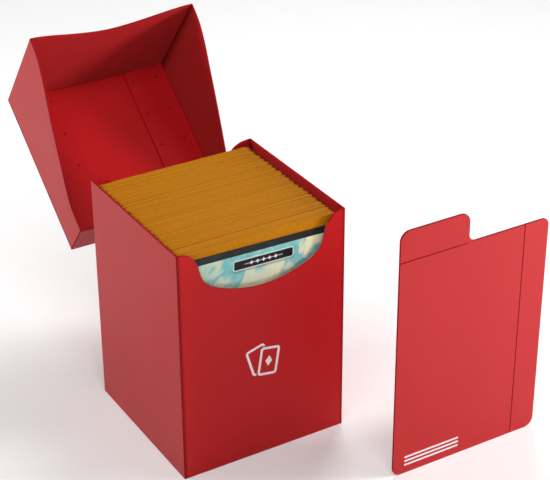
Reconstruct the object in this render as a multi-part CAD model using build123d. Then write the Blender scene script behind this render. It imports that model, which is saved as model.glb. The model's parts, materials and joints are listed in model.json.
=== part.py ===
from build123d import *
import os
from math import sin, cos, radians

# Deck box for sleeved trading cards, folded and welded from polypropylene
# sheet, with its flip lid open, a sleeved deck inside and a loose divider
# standing beside it.
# Frame: millimetres, +Z up, X along the front wall (right positive), Y from the
# front wall to the back, origin on the supporting surface in the middle of the
# box's footprint.

# ---------------------------------------------------------------- dimensions
T = 0.70            # sheet thickness of every wall and flap
W = 72.00           # box width, outside
D = 71.30           # box depth, outside
H = 98.65           # box height, rim above the supporting surface
R_FOLD = 0.75       # outside radius of every pressed fold

# finger notch in the front wall: (half width, depth below the rim)
NOTCH = [(31.4, 0.80), (30.7, 1.25), (30.0, 2.00), (28.6, 3.70), (27.6, 5.40),
         (27.05, 7.2), (26.6, 9.20), (26.0, 11.3), (24.9, 13.5), (23.0, 15.5),
         (20.5, 17.2), (17.0, 18.75), (13.0, 20.1), (9.3, 21.05), (4.5, 21.85),
         (0.0, 22.1)]
NOTCH_EDGE = 34.6   # half width at which the notch's lip leaves the rim

# flaps turned in from the side walls to form the back
BACK_FLAP_IN = 16.0         # half width between their free edges
BACK_FLAP_CURVE = [(34.6, 0.0), (32.0, 0.30), (30.4, 0.75), (28.4, 1.70),
                   (26.2, 3.60), (24.4, 6.20), (22.6, 9.00), (20.4, 11.2),
                   (18.0, 12.4), (16.0, 12.8)]
BACK_PANEL_TOP = 84.5       # top edge of the inner back panel
BOTTOM_FLAP_IN = 4.0        # half gap between the two side bottom flaps
BOTTOM_INNER_Y = -20.0      # free edge of the innermost bottom flap

# printed pictogram on the front wall: two overlapping cards
PRINT_T = 0.06
EMBLEM_Z = 42.8

# living hinge at the back: two pressed creases with a strip between them
CREASE_LO_Z = 71.70         # lower crease, at the top of the weld tab
CREASE_HI_Z = 82.30         # upper crease, at the bottom of the lid's back
HINGE_HALF_W = 31.0         # half width of tab and strip
TAB_H = 34.0                # height of the welded tab under the lower crease
WEB_R = 0.20                # radius of the thinned web in a crease
WEB_GAP = 0.02
WEB_TAPER = 0.70            # distance over which the sheet thins to the web

# lid, closed position
LID_HALF_W = 36.85          # outside half width
LID_Y_BACK = 36.40          # outer face of its back wall
LID_DEPTH = 73.35           # outside depth
LID_TOP = 100.80            # outer face of its top
LID_FLAP_IN = 16.6          # half width between the welded top flaps
LID_FRONT_ARCH = [(36.1, 51.75), (33.0, 51.95), (28.8, 52.75), (25.0, 53.7),
                  (20.4, 55.05), (15.8, 56.35), (11.3, 57.5), (7.0, 58.35),
                  (3.5, 58.85), (0.0, 59.0)]
LID_SIDE_CURVE = [(-36.2, 51.75), (-33.6, 51.9), (-30.7, 52.3), (-26.0, 53.6),
                  (-19.1, 57.0), (-11.9, 61.5), (-3.4, 66.6), (4.0, 70.9),
                  (12.0, 75.6), (19.3, 80.0), (23.6, 82.0), (27.8, 82.9),
                  (35.7, 83.0)]
LID_OPEN_STRIP = 91.2       # strip's turn about the lower crease, lid shown open
LID_OPEN_LID = 50.3         # lid's further turn about the upper crease

# sleeved deck
DECK_X0, DECK_X1 = -33.4, 33.2
DECK_Y0, DECK_Y1 = -33.10, 33.90
DECK_TOP = 96.60
# the front card in its own sleeve
CARD_W, CARD_H = 63.0, 88.0
CARD_TOP = 93.10            # middle of its top edge
CARD_TILT = 1.5             # degrees, the card sits with its right side lower
CARD_T = 0.30
LEAF_T = 0.12
PLATE_W, PLATE_H = 26.2, 4.5
PLATE_X, PLATE_Z = 1.3, 85.95

# divider sheet standing in front of the right side of the box
DIV_T = 0.75
DIV_X = 33.05               # left edge
DIV_Y = -76.10              # front face
DIV_W = 68.15
DIV_H = 95.20
DIV_TAB_W = 30.85
DIV_TAB_TOP = 107.80
DIV_CREASE_X = 56.81        # vertical crease, from the left edge
DIV_CREASE_Z = 94.90        # crease under the tab
DIV_R_BOTTOM = 4.0
DIV_R_TOP = 3.2
DIV_R_TAB = 4.2
DIV_GAP = 0.02              # half width of a pressed score line
DIV_SCORE = 0.22            # half width of a score line at the front face

# ---------------------------------------------------------------- helpers
def block(x0, x1, y0, y1, z0, z1):
    return Pos((x0 + x1) / 2, (y0 + y1) / 2, (z0 + z1) / 2) * Box(
        x1 - x0, y1 - y0, z1 - z0)


def xz_sheet(edges, y_front, thick):
    """Closed outline of edges drawn as (x, z), made thick in +Y from y_front."""
    face = Plane.XZ * make_face(edges)          # Plane.XZ looks along -Y
    solid = extrude(face, amount=thick, dir=(0, 1, 0))
    return Pos(0, y_front, 0) * solid


def yz_sheet(edges, x_left, thick):
    """Closed outline of edges drawn as (y, z), made thick in +X from x_left."""
    face = Plane.YZ * make_face(edges)
    solid = extrude(face, amount=thick, dir=(1, 0, 0))
    return Pos(x_left, 0, 0) * solid


def fold(cx, cy, sx, sy, z0, z1, r_out=R_FOLD):
    """Quarter ring of sheet about a vertical line, in the quadrant (sx, sy)."""
    ring = Cylinder(r_out, z1 - z0) - Cylinder(r_out - T, z1 - z0 + 2)
    quad = Pos(sx * r_out / 2, sy * r_out / 2, 0) * Box(r_out, r_out, z1 - z0)
    return Pos(cx, cy, (z0 + z1) / 2) * (ring & quad)


def save(name, shape, place=None):
    if place is not None:
        shape = place(shape)
    solids = shape.solids()
    out = solids[0] if len(solids) == 1 else Compound(solids)
    export_step(out, os.path.join("parts", name + ".step"))
    print("%-26s %d solid(s) %9.2f mm3" % (name, len(solids), out.volume))


# creases in the closed and in the open position
CREASE_Y = LID_Y_BACK - T / 2
STRIP_LEN = CREASE_HI_Z - CREASE_LO_Z
AX_LO = Axis((0, CREASE_Y, CREASE_LO_Z), (-1, 0, 0))
AX_HI = Axis((0, CREASE_Y, CREASE_HI_Z), (-1, 0, 0))


def strip_open(shape):
    return shape.rotate(AX_LO, LID_OPEN_STRIP)


def lid_open(shape):
    return shape.rotate(AX_HI, LID_OPEN_LID).rotate(AX_LO, LID_OPEN_STRIP)


hx, hy = W / 2, D / 2
xi, yi = hx - T, hy - T                      # inner faces
fx, fy = hx - R_FOLD, hy - R_FOLD            # centres of the vertical folds

# ---------------------------------------------------------------- box walls
# front wall with its two vertical folds and the finger notch
front = block(-fx, fx, -hy, -yi, 0, H)
front += fold(-fx, -fy, -1, -1, 0, H)
front += fold(fx, -fy, 1, -1, 0, H)
lip = [(-NOTCH_EDGE, H)] + [(-x, H - d) for x, d in NOTCH]
rip = [(x, H - d) for x, d in reversed(NOTCH)] + [(NOTCH_EDGE, H)]
mid = lip[-1]
left_spl = Spline(*[Vector(*p, 0) for p in lip], tangents=[(1, -0.02, 0), (1, 0, 0)])
right_spl = Spline(*[Vector(*p, 0) for p in rip], tangents=[(1, 0, 0), (1, 0.02, 0)])
up = Polyline((NOTCH_EDGE, H, 0), (NOTCH_EDGE, H + 3, 0), (-NOTCH_EDGE, H + 3, 0),
              (-NOTCH_EDGE, H, 0))
notch_cut = xz_sheet([*left_spl.edges(), *right_spl.edges(), *up.edges()], -hy - 1, T + 1.6)
front -= notch_cut
save("front_panel", front)

# side walls between the front and back folds
save("left_side_panel", block(-hx, -xi, -fy, fy, 0, H))
save("right_side_panel", block(xi, hx, -fy, fy, 0, H))

# back flaps: fold plus a flat flap whose top edge runs down in a curve
def back_flap(side):
    pts = [(x, H - d) for x, d in BACK_FLAP_CURVE]
    curve = Spline(*[Vector(x, z, 0) for x, z in pts], tangents=[(-1, 0, 0), (-1, -0.05, 0)])
    rest = Polyline((pts[-1][0], pts[-1][1], 0), (BACK_FLAP_IN, 0, 0), (fx, 0, 0),
                    (fx, H, 0), (pts[0][0], H, 0))
    flap = xz_sheet([*curve.edges(), *rest.edges()], yi, T)
    flap += fold(fx, fy, 1, 1, 0, H)
    if side < 0:
        flap = flap.mirror(Plane.YZ)
    return flap


save("back_flap_left", back_flap(-1))
save("back_flap_right", back_flap(1))
# inner back panel, turned up from the bottom and welded to the flaps
back = block(-xi + 0.35, xi - 0.35, yi - T, yi, T, BACK_PANEL_TOP)
save("back_panel", back)

# bottom: outer panel, two side flaps, and the flap from the back on top
bottom = block(-xi, xi, -yi, yi, 0, T)
bottom = fillet(bottom.edges().filter_by(Axis.Z), R_FOLD - T + 0.05)
save("bottom_panel", bottom)
save("bottom_flap_left", block(-xi, -BOTTOM_FLAP_IN, -yi + 1.0, yi - T - 1.0, T, 2 * T))
save("bottom_flap_right", block(BOTTOM_FLAP_IN, xi, -yi + 1.0, yi - T - 1.0, T, 2 * T))
save("bottom_inner_flap", block(-xi + 1.5, xi - 1.5, BOTTOM_INNER_Y, yi - T, 2 * T, 3 * T))

# pictogram: the outline of an upright card over a leaning one
def card_ring(w, h, r, line):
    outer = extrude(RectangleRounded(w, h, r), amount=PRINT_T)
    inner = extrude(RectangleRounded(w - 2 * line, h - 2 * line, max(r - line, 0.3)),
                    amount=PRINT_T)
    return outer, outer - inner


o1, ring1 = card_ring(8.6, 12.4, 1.4, 1.0)
o2, ring2 = card_ring(8.6, 12.4, 1.4, 1.0)
halo = extrude(RectangleRounded(8.6 + 1.2, 12.4 + 1.2, 1.9), amount=PRINT_T)
front_card_sym = Pos(1.9, -0.9, 0) * Rot(0, 0, -9) * ring1
front_halo = Pos(1.9, -0.9, 0) * Rot(0, 0, -9) * halo
back_card_sym = Pos(-2.6, 0.9, 0) * Rot(0, 0, 16) * ring2
pip = Pos(1.9, -0.9, 0) * Rot(0, 0, -9) * extrude(
    Polygon((0, 2.3), (-1.5, 0), (0, -2.3), (1.5, 0), align=None), amount=PRINT_T)
emblem = (back_card_sym - front_halo) + front_card_sym + pip
emblem = Plane(origin=(0, -hy, EMBLEM_Z), x_dir=(1, 0, 0), z_dir=(0, -1, 0)) * emblem
save("emblem_print", emblem)

# ---------------------------------------------------------------- hinge
def web(z, y=CREASE_Y):
    return Pos(0, y, z) * Rot(0, 90, 0) * Cylinder(WEB_R, 2 * HINGE_HALF_W)


def tapered(z0, z1, low, high, x_half=HINGE_HALF_W):
    """Sheet from z0 to z1 whose low or high end thins to a crease's web."""
    a, b, e = T / 2, 0.10, WEB_R + WEB_GAP
    c = CREASE_Y
    lo = ([(c - a, z0 + WEB_TAPER), (c - b, z0 + e), (c + b, z0 + e), (c + a, z0 + WEB_TAPER)]
          if low else [(c - a, z0), (c + a, z0)])
    hi = ([(c + a, z1 - WEB_TAPER), (c + b, z1 - e), (c - b, z1 - e), (c - a, z1 - WEB_TAPER)]
          if high else [(c + a, z1), (c - a, z1)])
    pts = lo + hi
    loop = Polyline(*[(y, z, 0) for y, z in pts], close=True)
    return yz_sheet(loop.edges(), -x_half, 2 * x_half)


tab = tapered(CREASE_LO_Z - TAB_H, CREASE_LO_Z, False, True)
tab_corners = tab.edges().filter_by(Axis.Y).sort_by(Axis.Z)[:2]
tab = fillet(tab_corners, 4.0)
save("lid_weld_tab", tab)
save("hinge_crease_lower", web(CREASE_LO_Z))
save("hinge_strip", tapered(CREASE_LO_Z, CREASE_HI_Z, True, True), strip_open)
save("hinge_crease_upper", web(CREASE_HI_Z), strip_open)

# ---------------------------------------------------------------- lid
ly0 = LID_Y_BACK - LID_DEPTH                 # outer face of the lid's front
lx = LID_HALF_W
lz = LID_TOP
lfx, lfy = lx - R_FOLD, ly0 + R_FOLD         # centres of its vertical folds

# top panel, with the folds to the front and back walls as rounded edges
top = block(-lx, lx, ly0, LID_Y_BACK, lz - T, lz)
top_edges = top.edges().filter_by(Axis.X).group_by(Axis.Z)[-1]
top = fillet(top_edges, 0.60)
save("lid_top_panel", top, lid_open)

# front wall with an arched lower edge and the folds to the side walls
arch_l = [(-x, z) for x, z in LID_FRONT_ARCH]
arch_r = [(x, z) for x, z in reversed(LID_FRONT_ARCH)]
a_l = Spline(*[Vector(x, z, 0) for x, z in arch_l], tangents=[(1, 0, 0), (1, 0, 0)])
a_r = Spline(*[Vector(x, z, 0) for x, z in arch_r], tangents=[(1, 0, 0), (1, 0, 0)])
x_end, z_end = LID_FRONT_ARCH[0]
lf_rest = Polyline((x_end, z_end, 0), (x_end, lz - T, 0), (-x_end, lz - T, 0), (-x_end, z_end, 0))
lfront = xz_sheet([*a_l.edges(), *a_r.edges(), *lf_rest.edges()], ly0, T)
lfront = lfront & block(-lfx, lfx, ly0 - 1, ly0 + 2, 0, 200)
lfront += fold(-lfx, lfy, -1, -1, z_end, lz - T)
lfront += fold(lfx, lfy, 1, -1, z_end, lz - T)
save("lid_front_panel", lfront, lid_open)

# side walls: the lower edge sweeps up to the hinge in an S
def lid_side(side):
    c = Spline(*[Vector(y, z, 0) for y, z in LID_SIDE_CURVE], tangents=[(1, 0, 0), (1, 0, 0)])
    y0, z0 = LID_SIDE_CURVE[0]
    y1, z1 = LID_SIDE_CURVE[-1]
    r = Polyline((y1, z1, 0), (y1, lz - T, 0), (y0, lz - T, 0), (y0, z0, 0))
    s = yz_sheet([*c.edges(), *r.edges()], lx - T, T)
    s = s & block(lx - 2, lx + 1, lfy, LID_Y_BACK - T, 0, 200)
    return s.mirror(Plane.YZ) if side < 0 else s


save("lid_left_side", lid_side(-1), lid_open)
save("lid_right_side", lid_side(1), lid_open)

# back wall, ending in the upper crease between the side walls' back edges
lback = block(-lx, lx, LID_Y_BACK - T, LID_Y_BACK, CREASE_HI_Z + WEB_TAPER, lz - T)
lback += tapered(CREASE_HI_Z, CREASE_HI_Z + 3.0, True, False)
save("lid_back_panel", lback, lid_open)

# flaps of the side walls, turned in and welded under the top panel
fl = block(-lx + T, -LID_FLAP_IN, ly0 + T + 0.4, LID_Y_BACK - T - 0.4, lz - 2 * T, lz - T)
fl_c = fl.edges().filter_by(Axis.Z).group_by(Axis.X)[-1]
fl = fillet(fl_c, 2.0)
save("lid_flap_left", fl, lid_open)
save("lid_flap_right", fl.mirror(Plane.YZ), lid_open)

# ---------------------------------------------------------------- contents
save("sleeved_deck", block(DECK_X0, DECK_X1, DECK_Y0, DECK_Y1, 3 * T, DECK_TOP))
y = DECK_Y0 - 0.05
sl_x0, sl_x1 = -33.2, 33.2
save("front_card_sleeve_back", block(sl_x0, sl_x1, y - 0.15, y, 3 * T, DECK_TOP))
y -= 0.17
card = Pos(0, y - CARD_T / 2, CARD_TOP - CARD_H / 2) * Rot(90, 0, 0) * Rot(0, 0, -CARD_TILT) * extrude(
    RectangleRounded(CARD_W, CARD_H, 3.0), amount=CARD_T / 2, both=True)
save("front_card", card)
y -= CARD_T
plate = Plane(origin=(PLATE_X, y, PLATE_Z), x_dir=(1, 0, 0), z_dir=(0, -1, 0)) * Rot(
    0, 0, -CARD_TILT) * extrude(RectangleRounded(PLATE_W, PLATE_H, 1.1), amount=0.05)
save("card_name_plate", plate)
y -= 0.07
save("front_card_sleeve_clear", block(sl_x0, sl_x1, y - LEAF_T, y, 3 * T, DECK_TOP))

# ---------------------------------------------------------------- divider
# outline of the whole sheet in its own plane: a along X, b along Z
def sheet(a0, a1, b0, b1, radii):
    """Rectangle with one corner radius for each of bl, br, tr, tl."""
    s = block(a0, a1, 0, DIV_T, b0, b1)
    corner = {"bl": (a0, b0), "br": (a1, b0), "tr": (a1, b1), "tl": (a0, b1)}
    for key, r in radii.items():
        ca, cb = corner[key]
        e = [k for k in s.edges().filter_by(Axis.Y)
             if abs(k.center().X - ca) < 1e-3 and abs(k.center().Z - cb) < 1e-3]
        s = fillet(e, r)
    return s


def score_x(a, b0, b1, side):
    """Material removed beside a vertical score line, a wedge open to the front."""
    g, h = DIV_GAP, DIV_SCORE
    loop = Polyline((a - side, -0.2, 0), (a + side * h, -0.2, 0), (a + side * h, 0, 0),
                    (a + side * g, DIV_T * 0.55, 0), (a + side * g, DIV_T + 0.2, 0),
                    (a - side, DIV_T + 0.2, 0), close=True)
    return Pos(0, 0, b0) * extrude(make_face(loop.edges()), amount=b1 - b0)


cx, cz = DIV_CREASE_X, DIV_CREASE_Z
main = sheet(0, cx, 0, DIV_H, {"bl": DIV_R_BOTTOM})
# shoulder: the tab leaves the main edge with a small inner radius
tab_piece = sheet(0, DIV_TAB_W, DIV_H - 8, DIV_TAB_TOP, {"tr": DIV_R_TAB, "tl": DIV_R_TAB})
fil_r = 3.0
web_in = block(DIV_TAB_W, DIV_TAB_W + fil_r, 0, DIV_T, DIV_H, DIV_H + fil_r)
web_in -= Pos(DIV_TAB_W + fil_r, DIV_T / 2, DIV_H + fil_r) * Rot(90, 0, 0) * Cylinder(
    fil_r, DIV_T + 1)
whole = main + tab_piece + web_in
strip_piece = sheet(cx, DIV_W, 0, DIV_H, {"br": DIV_R_BOTTOM, "tr": DIV_R_TOP})

# horizontal score under the tab, vertical score beside the narrow strip
def score_z(b, a0, a1, side):
    g, h = DIV_GAP, DIV_SCORE
    loop = Polyline((-0.2, b - side, 0), (-0.2, b + side * h, 0), (0, b + side * h, 0),
                    (DIV_T * 0.55, b + side * g, 0), (DIV_T + 0.2, b + side * g, 0),
                    (DIV_T + 0.2, b - side, 0), close=True)
    face = Plane.YZ * make_face(loop.edges())
    return Pos(a0, 0, 0) * extrude(face, amount=a1 - a0, dir=(1, 0, 0))


tab_zone = block(-1, DIV_TAB_W + 0.001, -1, DIV_T + 1, cz, DIV_TAB_TOP + 1)
tab_only = (whole & tab_zone) - score_z(cz, -1, DIV_TAB_W + 1, 1)
below = whole - tab_zone
panel = below - score_z(cz, -1, DIV_TAB_W, -1) - score_x(cx, -1, DIV_H + 1, -1)
strip_only = strip_piece - score_x(cx, -1, DIV_H + 1, 1)
put = Pos(DIV_X, DIV_Y, 0)
save("divider_panel", put * panel)
save("divider_tab", put * tab_only)
save("divider_side_strip", put * strip_only)

# print on the divider's lower left: three plain bars
bars = None
for i, (b, length) in enumerate([(7.5, 25.6), (5.7, 25.6), (3.9, 25.6)]):
    bar = extrude(Pos(5.3 + length / 2, b, 0) * RectangleRounded(length, 0.8, 0.35), amount=PRINT_T)
    bars = bar if bars is None else bars + bar
bars = Plane(origin=(DIV_X, DIV_Y, 0), x_dir=(1, 0, 0), z_dir=(0, -1, 0)) * bars
save("divider_print", bars)

print("crease lo", (0, CREASE_Y, CREASE_LO_Z))
a = radians(LID_OPEN_STRIP)
print("crease hi open", (0, CREASE_Y + STRIP_LEN * sin(a), CREASE_LO_Z + STRIP_LEN * cos(a)))
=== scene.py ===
import json
import math
import random

import bmesh
import bpy
import numpy as np
from mathutils import Matrix, Vector


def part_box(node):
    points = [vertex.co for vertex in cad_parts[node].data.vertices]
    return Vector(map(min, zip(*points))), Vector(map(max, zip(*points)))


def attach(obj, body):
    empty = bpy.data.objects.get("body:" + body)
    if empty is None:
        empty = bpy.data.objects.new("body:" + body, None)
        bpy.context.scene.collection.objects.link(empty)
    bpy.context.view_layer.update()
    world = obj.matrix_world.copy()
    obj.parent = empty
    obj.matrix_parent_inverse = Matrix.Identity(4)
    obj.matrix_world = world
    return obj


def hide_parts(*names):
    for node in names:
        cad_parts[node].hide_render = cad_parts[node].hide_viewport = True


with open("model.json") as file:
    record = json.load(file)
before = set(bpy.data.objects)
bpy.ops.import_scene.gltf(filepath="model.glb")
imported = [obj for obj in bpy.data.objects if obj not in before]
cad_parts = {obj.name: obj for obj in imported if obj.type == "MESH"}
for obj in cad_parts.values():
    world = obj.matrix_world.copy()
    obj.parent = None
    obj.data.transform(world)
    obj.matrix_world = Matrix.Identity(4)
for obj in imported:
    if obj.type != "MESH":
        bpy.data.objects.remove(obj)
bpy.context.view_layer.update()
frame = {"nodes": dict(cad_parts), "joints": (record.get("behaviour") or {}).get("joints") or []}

scene = bpy.context.scene
MM = 0.001

# ------------------------------------------------------------------ camera
POS = Vector((-0.268217, -0.497153, 0.392393))
FWD = Vector((0.44520, 0.75184, -0.48635)).normalized()
RIGHT = Vector((0.85884, -0.51222, -0.00565))
RIGHT = (RIGHT - RIGHT.dot(FWD) * FWD).normalized()
UP = RIGHT.cross(FWD)
cam_data = bpy.data.cameras.new("camera")
cam = bpy.data.objects.new("camera", cam_data)
scene.collection.objects.link(cam)
cam.matrix_world = Matrix((
    (RIGHT.x, UP.x, -FWD.x, POS.x),
    (RIGHT.y, UP.y, -FWD.y, POS.y),
    (RIGHT.z, UP.z, -FWD.z, POS.z),
    (0, 0, 0, 1)))
cam_data.sensor_width = 36.0
cam_data.sensor_fit = "HORIZONTAL"
cam_data.lens = 108.77
cam_data.clip_start = 0.01
cam_data.clip_end = 20.0
scene.camera = cam
scene.view_settings.view_transform = "Standard"

# ------------------------------------------------------------------ sizes, mm
T = 0.70
lo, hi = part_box("left_side_panel")
BOX_X0 = lo.x / MM                       # outer face of the left wall
H = hi.z / MM
W = -2 * BOX_X0
lo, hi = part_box("front_panel")
FRONT_Y = lo.y / MM
D = -2 * FRONT_Y
R = 0.40                                 # outside radius of the folds
PRESS = 0.45                             # the sheet is pressed thin this far beside a fold
XI = W / 2 - R                           # flat half width between the folds
YI = D / 2 - R
YIN = D / 2 - T

joints = {j["name"]: j for j in frame["joints"]}
J1, J2 = joints["hinge_fold"], joints["lid_fold"]
C1 = Vector(J1["pos_m"]) / MM            # lower crease
STRIP = (Vector(J2["pos_m"]) - Vector(J1["pos_m"])).length / MM
C2 = C1 + Vector((0, 0, STRIP))          # upper crease, lid closed
A1 = math.radians(-J1["range_deg"][0])
A2 = math.radians(-J2["range_deg"][0])
AXIS = Vector(J1["axis"])


def about(centre, angle):
    return (Matrix.Translation(centre) @ Matrix.Rotation(angle, 4, AXIS)
            @ Matrix.Translation(-centre))


STRIP_OPEN = about(C1, A1)
LID_OPEN = STRIP_OPEN @ about(C2, A2)

LX = 36.85                               # lid: outside half width
LYB = C1.y + T / 2                       # outer face of its back wall, closed
LYF = LYB - 73.35                        # outer face of its front wall
LZ = 100.80                              # outer face of its top
HINGE_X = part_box("hinge_strip")[1].x / MM


# ------------------------------------------------------------------ sheet maker
def catmull(pts, per=6):
    """Points of a smooth curve through pts."""
    p = [np.array(q, float) for q in pts]
    p = [2 * p[0] - p[1]] + p + [2 * p[-1] - p[-2]]
    out = []
    for i in range(1, len(p) - 2):
        for k in range(per):
            t = k / per
            a, b, c, d = p[i - 1], p[i], p[i + 1], p[i + 2]
            out.append(0.5 * ((2 * b) + (c - a) * t + (2 * a - 5 * b + 4 * c - d) * t * t
                              + (3 * b - a - 3 * c + d) * t ** 3))
    out.append(p[-2])
    return [tuple(q) for q in out]


def arc(cx, cy, r, a0, a1, n=6):
    return [(cx + r * math.cos(math.radians(a0 + (a1 - a0) * i / n)),
             cy + r * math.sin(math.radians(a0 + (a1 - a0) * i / n))) for i in range(n + 1)]


def folded(O, U, V, N, lo=None, hi=None, r=R, bow=None, thin=None):
    """Place of (u, v, w) on a sheet whose outer face is flat from u = lo to hi and
    folds away from N beyond; w is the depth below the outer face."""
    O, U, V, N = Vector(O), Vector(U), Vector(V), Vector(N)
    lo = -1e9 if lo is None else lo
    hi = 1e9 if hi is None else hi
    k0 = (r - 0.03) / T

    def at(u, v, w):
        if thin:
            w = T / 2 + (w - T / 2) * thin(u, v)
        w *= k0 + (1 - k0) * min(1.0, max(0.0, min(u - lo, hi - u)) / PRESS)
        if u > hi:
            a = (u - hi) / r
            p = U * (hi + (r - w) * math.sin(a)) - N * (r - (r - w) * math.cos(a))
        elif u < lo:
            a = (lo - u) / r
            p = U * (lo - (r - w) * math.sin(a)) - N * (r - (r - w) * math.cos(a))
        else:
            p = U * u - N * w
        if bow:
            p = p + N * bow(min(max(u, lo), hi), v)
        return O + p + V * v
    return at


B = 0.15                                 # rounding of the cut edges
FREE = [(B, 0, 0), (B * .29, B * .29, .5), (0, B, 1), (0, -B, 1), (B * .29, -B * .29, 1.5), (B, -1e-9, 2)]
SEAM = [(0, 0, 0), (0, B * .29, 0), (0, B, 0), (0, -B, 2), (0, -B * .29, 2), (0, -1e-9, 2)]
CREASE = [(.20, 0, 0), (.15, .04, .35), (.10, .12, .7), (.04, .30, 1), (.0, -.05, 1.6), (.0, -1e-9, 2)]


def sheet(name, outline, at, ucuts=(), vcuts=(), thick=T, kind=None, place=None, mat=None,
          body=None, replaces=(), mark=None, pale_cut_face=None):
    """A sheet piece: outline in (u, v), counter-clockwise seen from outside, with
    rounded cut edges, its faces put in space by at(u, v, w)."""
    clean = []
    for p in outline:
        if not clean or math.dist(p, clean[-1]) > 1e-4:
            clean.append(p)
    if math.dist(clean[0], clean[-1]) < 1e-4:
        clean.pop()
    bm = bmesh.new()
    bm.faces.new([bm.verts.new((u, v, 0)) for u, v in clean])
    for axis, cuts in ((0, ucuts), (1, vcuts)):
        for c in cuts:
            co, no = [0, 0, 0], [0, 0, 0]
            co[axis], no[axis] = c, 1
            bmesh.ops.bisect_plane(bm, geom=bm.verts[:] + bm.edges[:] + bm.faces[:],
                                   dist=1e-5, plane_co=co, plane_no=no)
    bm.verts.ensure_lookup_table()
    bm.verts.index_update()
    uv = [(v.co.x, v.co.y) for v in bm.verts]
    faces = []
    for f in bm.faces:
        ids = [v.index for v in f.verts]
        area = sum(uv[ids[i]][0] * uv[ids[(i + 1) % len(ids)]][1]
                   - uv[ids[(i + 1) % len(ids)]][0] * uv[ids[i]][1] for i in range(len(ids)))
        faces.append(ids if area > 0 else ids[::-1])
    nxt = {}
    for f in faces:
        for i, a in enumerate(f):
            nxt[(a, f[(i + 1) % len(f)])] = True
    border = [(a, b) for (a, b) in nxt if (b, a) not in nxt]
    bm.free()
    out_of = {a: b for a, b in border}
    into = {b: a for a, b in border}

    def profile(a, b):
        k = kind(uv[a], uv[b]) if kind else None
        return {"seam": SEAM, "crease": CREASE}.get(k, FREE)

    def inward(a, b):
        du, dv = uv[b][0] - uv[a][0], uv[b][1] - uv[a][1]
        n = math.hypot(du, dv) or 1
        return (-dv / n, du / n)

    verts, normals, flat = [], [], []

    def space(u, v, w):
        return at(u, v, w)

    def frame_at(u, v, w):
        e = 0.02
        pu = (space(u + e, v, w) - space(u - e, v, w))
        pv = (space(u, v + e, w) - space(u, v - e, w))
        return pu.normalized(), pv.normalized(), pu.cross(pv).normalized()

    front, back, rings = {}, {}, {}
    for i, (u, v) in enumerate(uv):
        if i in out_of:
            prev, nx = into[i], out_of[i]
            m1, m2 = inward(prev, i), inward(i, nx)
            p1, p2 = profile(prev, i), profile(i, nx)
            cross = m1[0] * m2[1] - m1[1] * m2[0]
            ring = []
            for k in range(6):
                d1, d2 = p1[k][0], p2[k][0]
                if abs(cross) > 0.12:
                    du = (d1 * m2[1] - d2 * m1[1]) / cross
                    dv = (m1[0] * d2 - m2[0] * d1) / cross
                else:
                    sx, sy = m1[0] + m2[0], m1[1] + m2[1]
                    s = math.hypot(sx, sy) or 1
                    du, dv = sx / s * (d1 + d2) / 2, sy / s * (d1 + d2) / 2
                ws = []
                for p in (p1, p2):
                    w = p[k][1]
                    ws.append(w if w >= 0 else thick + w)
                w = sum(ws) / 2
                P = space(u + du, v + dv, w)
                U_, V_, N_ = frame_at(u, v, w)
                sx, sy = m1[0] + m2[0], m1[1] + m2[1]
                s = math.hypot(sx, sy) or 1
                free1, free2 = p1 is not SEAM, p2 is not SEAM
                if free1 and not free2:
                    sx, sy, s = m1[0], m1[1], 1
                if free2 and not free1:
                    sx, sy, s = m2[0], m2[1], 1
                E_ = -(U_ * sx + V_ * sy) / s
                tag = max(p1[k][2], p2[k][2]) if (p1[k][2] < 1) else min(p1[k][2], p2[k][2])
                if free1 != free2:
                    tag = (p1 if free1 else p2)[k][2]
                nrm = (N_ * (1 - tag) + E_ * (1 - abs(1 - tag))) if tag <= 1 else (
                    E_ * (2 - tag) - N_ * (tag - 1))
                if tag < 1:
                    nrm = N_ * (1 - tag) + E_ * tag
                ring.append(len(verts))
                verts.append(P)
                flat.append((u, v, w))
                normals.append(nrm.normalized())
            rings[i] = ring
            front[i], back[i] = ring[0], ring[5]
        else:
            for w, sgn, store in ((0, 1, front), (thick, -1, back)):
                store[i] = len(verts)
                verts.append(space(u, v, w))
                flat.append((u, v, w))
                normals.append(frame_at(u, v, w)[2] * sgn)
    polys, cut = [], []
    for f in faces:
        polys.append([front[i] for i in f]); cut.append(0.0)
        polys.append([back[i] for i in f][::-1]); cut.append(0.0)
    for a, b in border:
        seam = profile(a, b) is SEAM
        for k in range(5):
            polys.append([rings[a][k], rings[a][k + 1], rings[b][k + 1], rings[b][k]])
            # crease faces carry the painted shade of the crease groove
            if profile(a, b) is CREASE:
                cut.append(0.2 if k < 3 else 0.0)
                continue
            # middle of the cut face: painted lighter pink on the chosen edges, darker red elsewhere
            mid = 0.6 if pale_cut_face and pale_cut_face(uv[a], uv[b]) else 0.5
            cut.append(0.0 if seam else (1.0 if k < 2 else (mid if k == 2 else 0.8)))
    mesh = bpy.data.meshes.new(name)
    M = place or Matrix.Identity(4)
    Rm = M.to_3x3()
    mesh.from_pydata([(M @ p) * MM for p in verts], [], polys)
    mesh.polygons.foreach_set("use_smooth", [True] * len(mesh.polygons))
    at_cut = mesh.attributes.new("cut", "FLOAT", "FACE")
    at_cut.data.foreach_set("value", cut)
    at_fold_shade = mesh.attributes.new("fold", "FLOAT", "POINT")

    def inner_fold_shade(u, v):
        """1 where the inside of a fold is, 0 on flat ground: where painted shade darkens the inside corner of a fold.
        """
        n = [frame_at(u + a, v + b, thick)[2] for a, b in ((0.3, 0), (-0.3, 0), (0, 0.3), (0, -0.3))]
        return 1.0 if min(n[0].dot(n[1]), n[2].dot(n[3])) < 0.97 else 0.0

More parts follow.
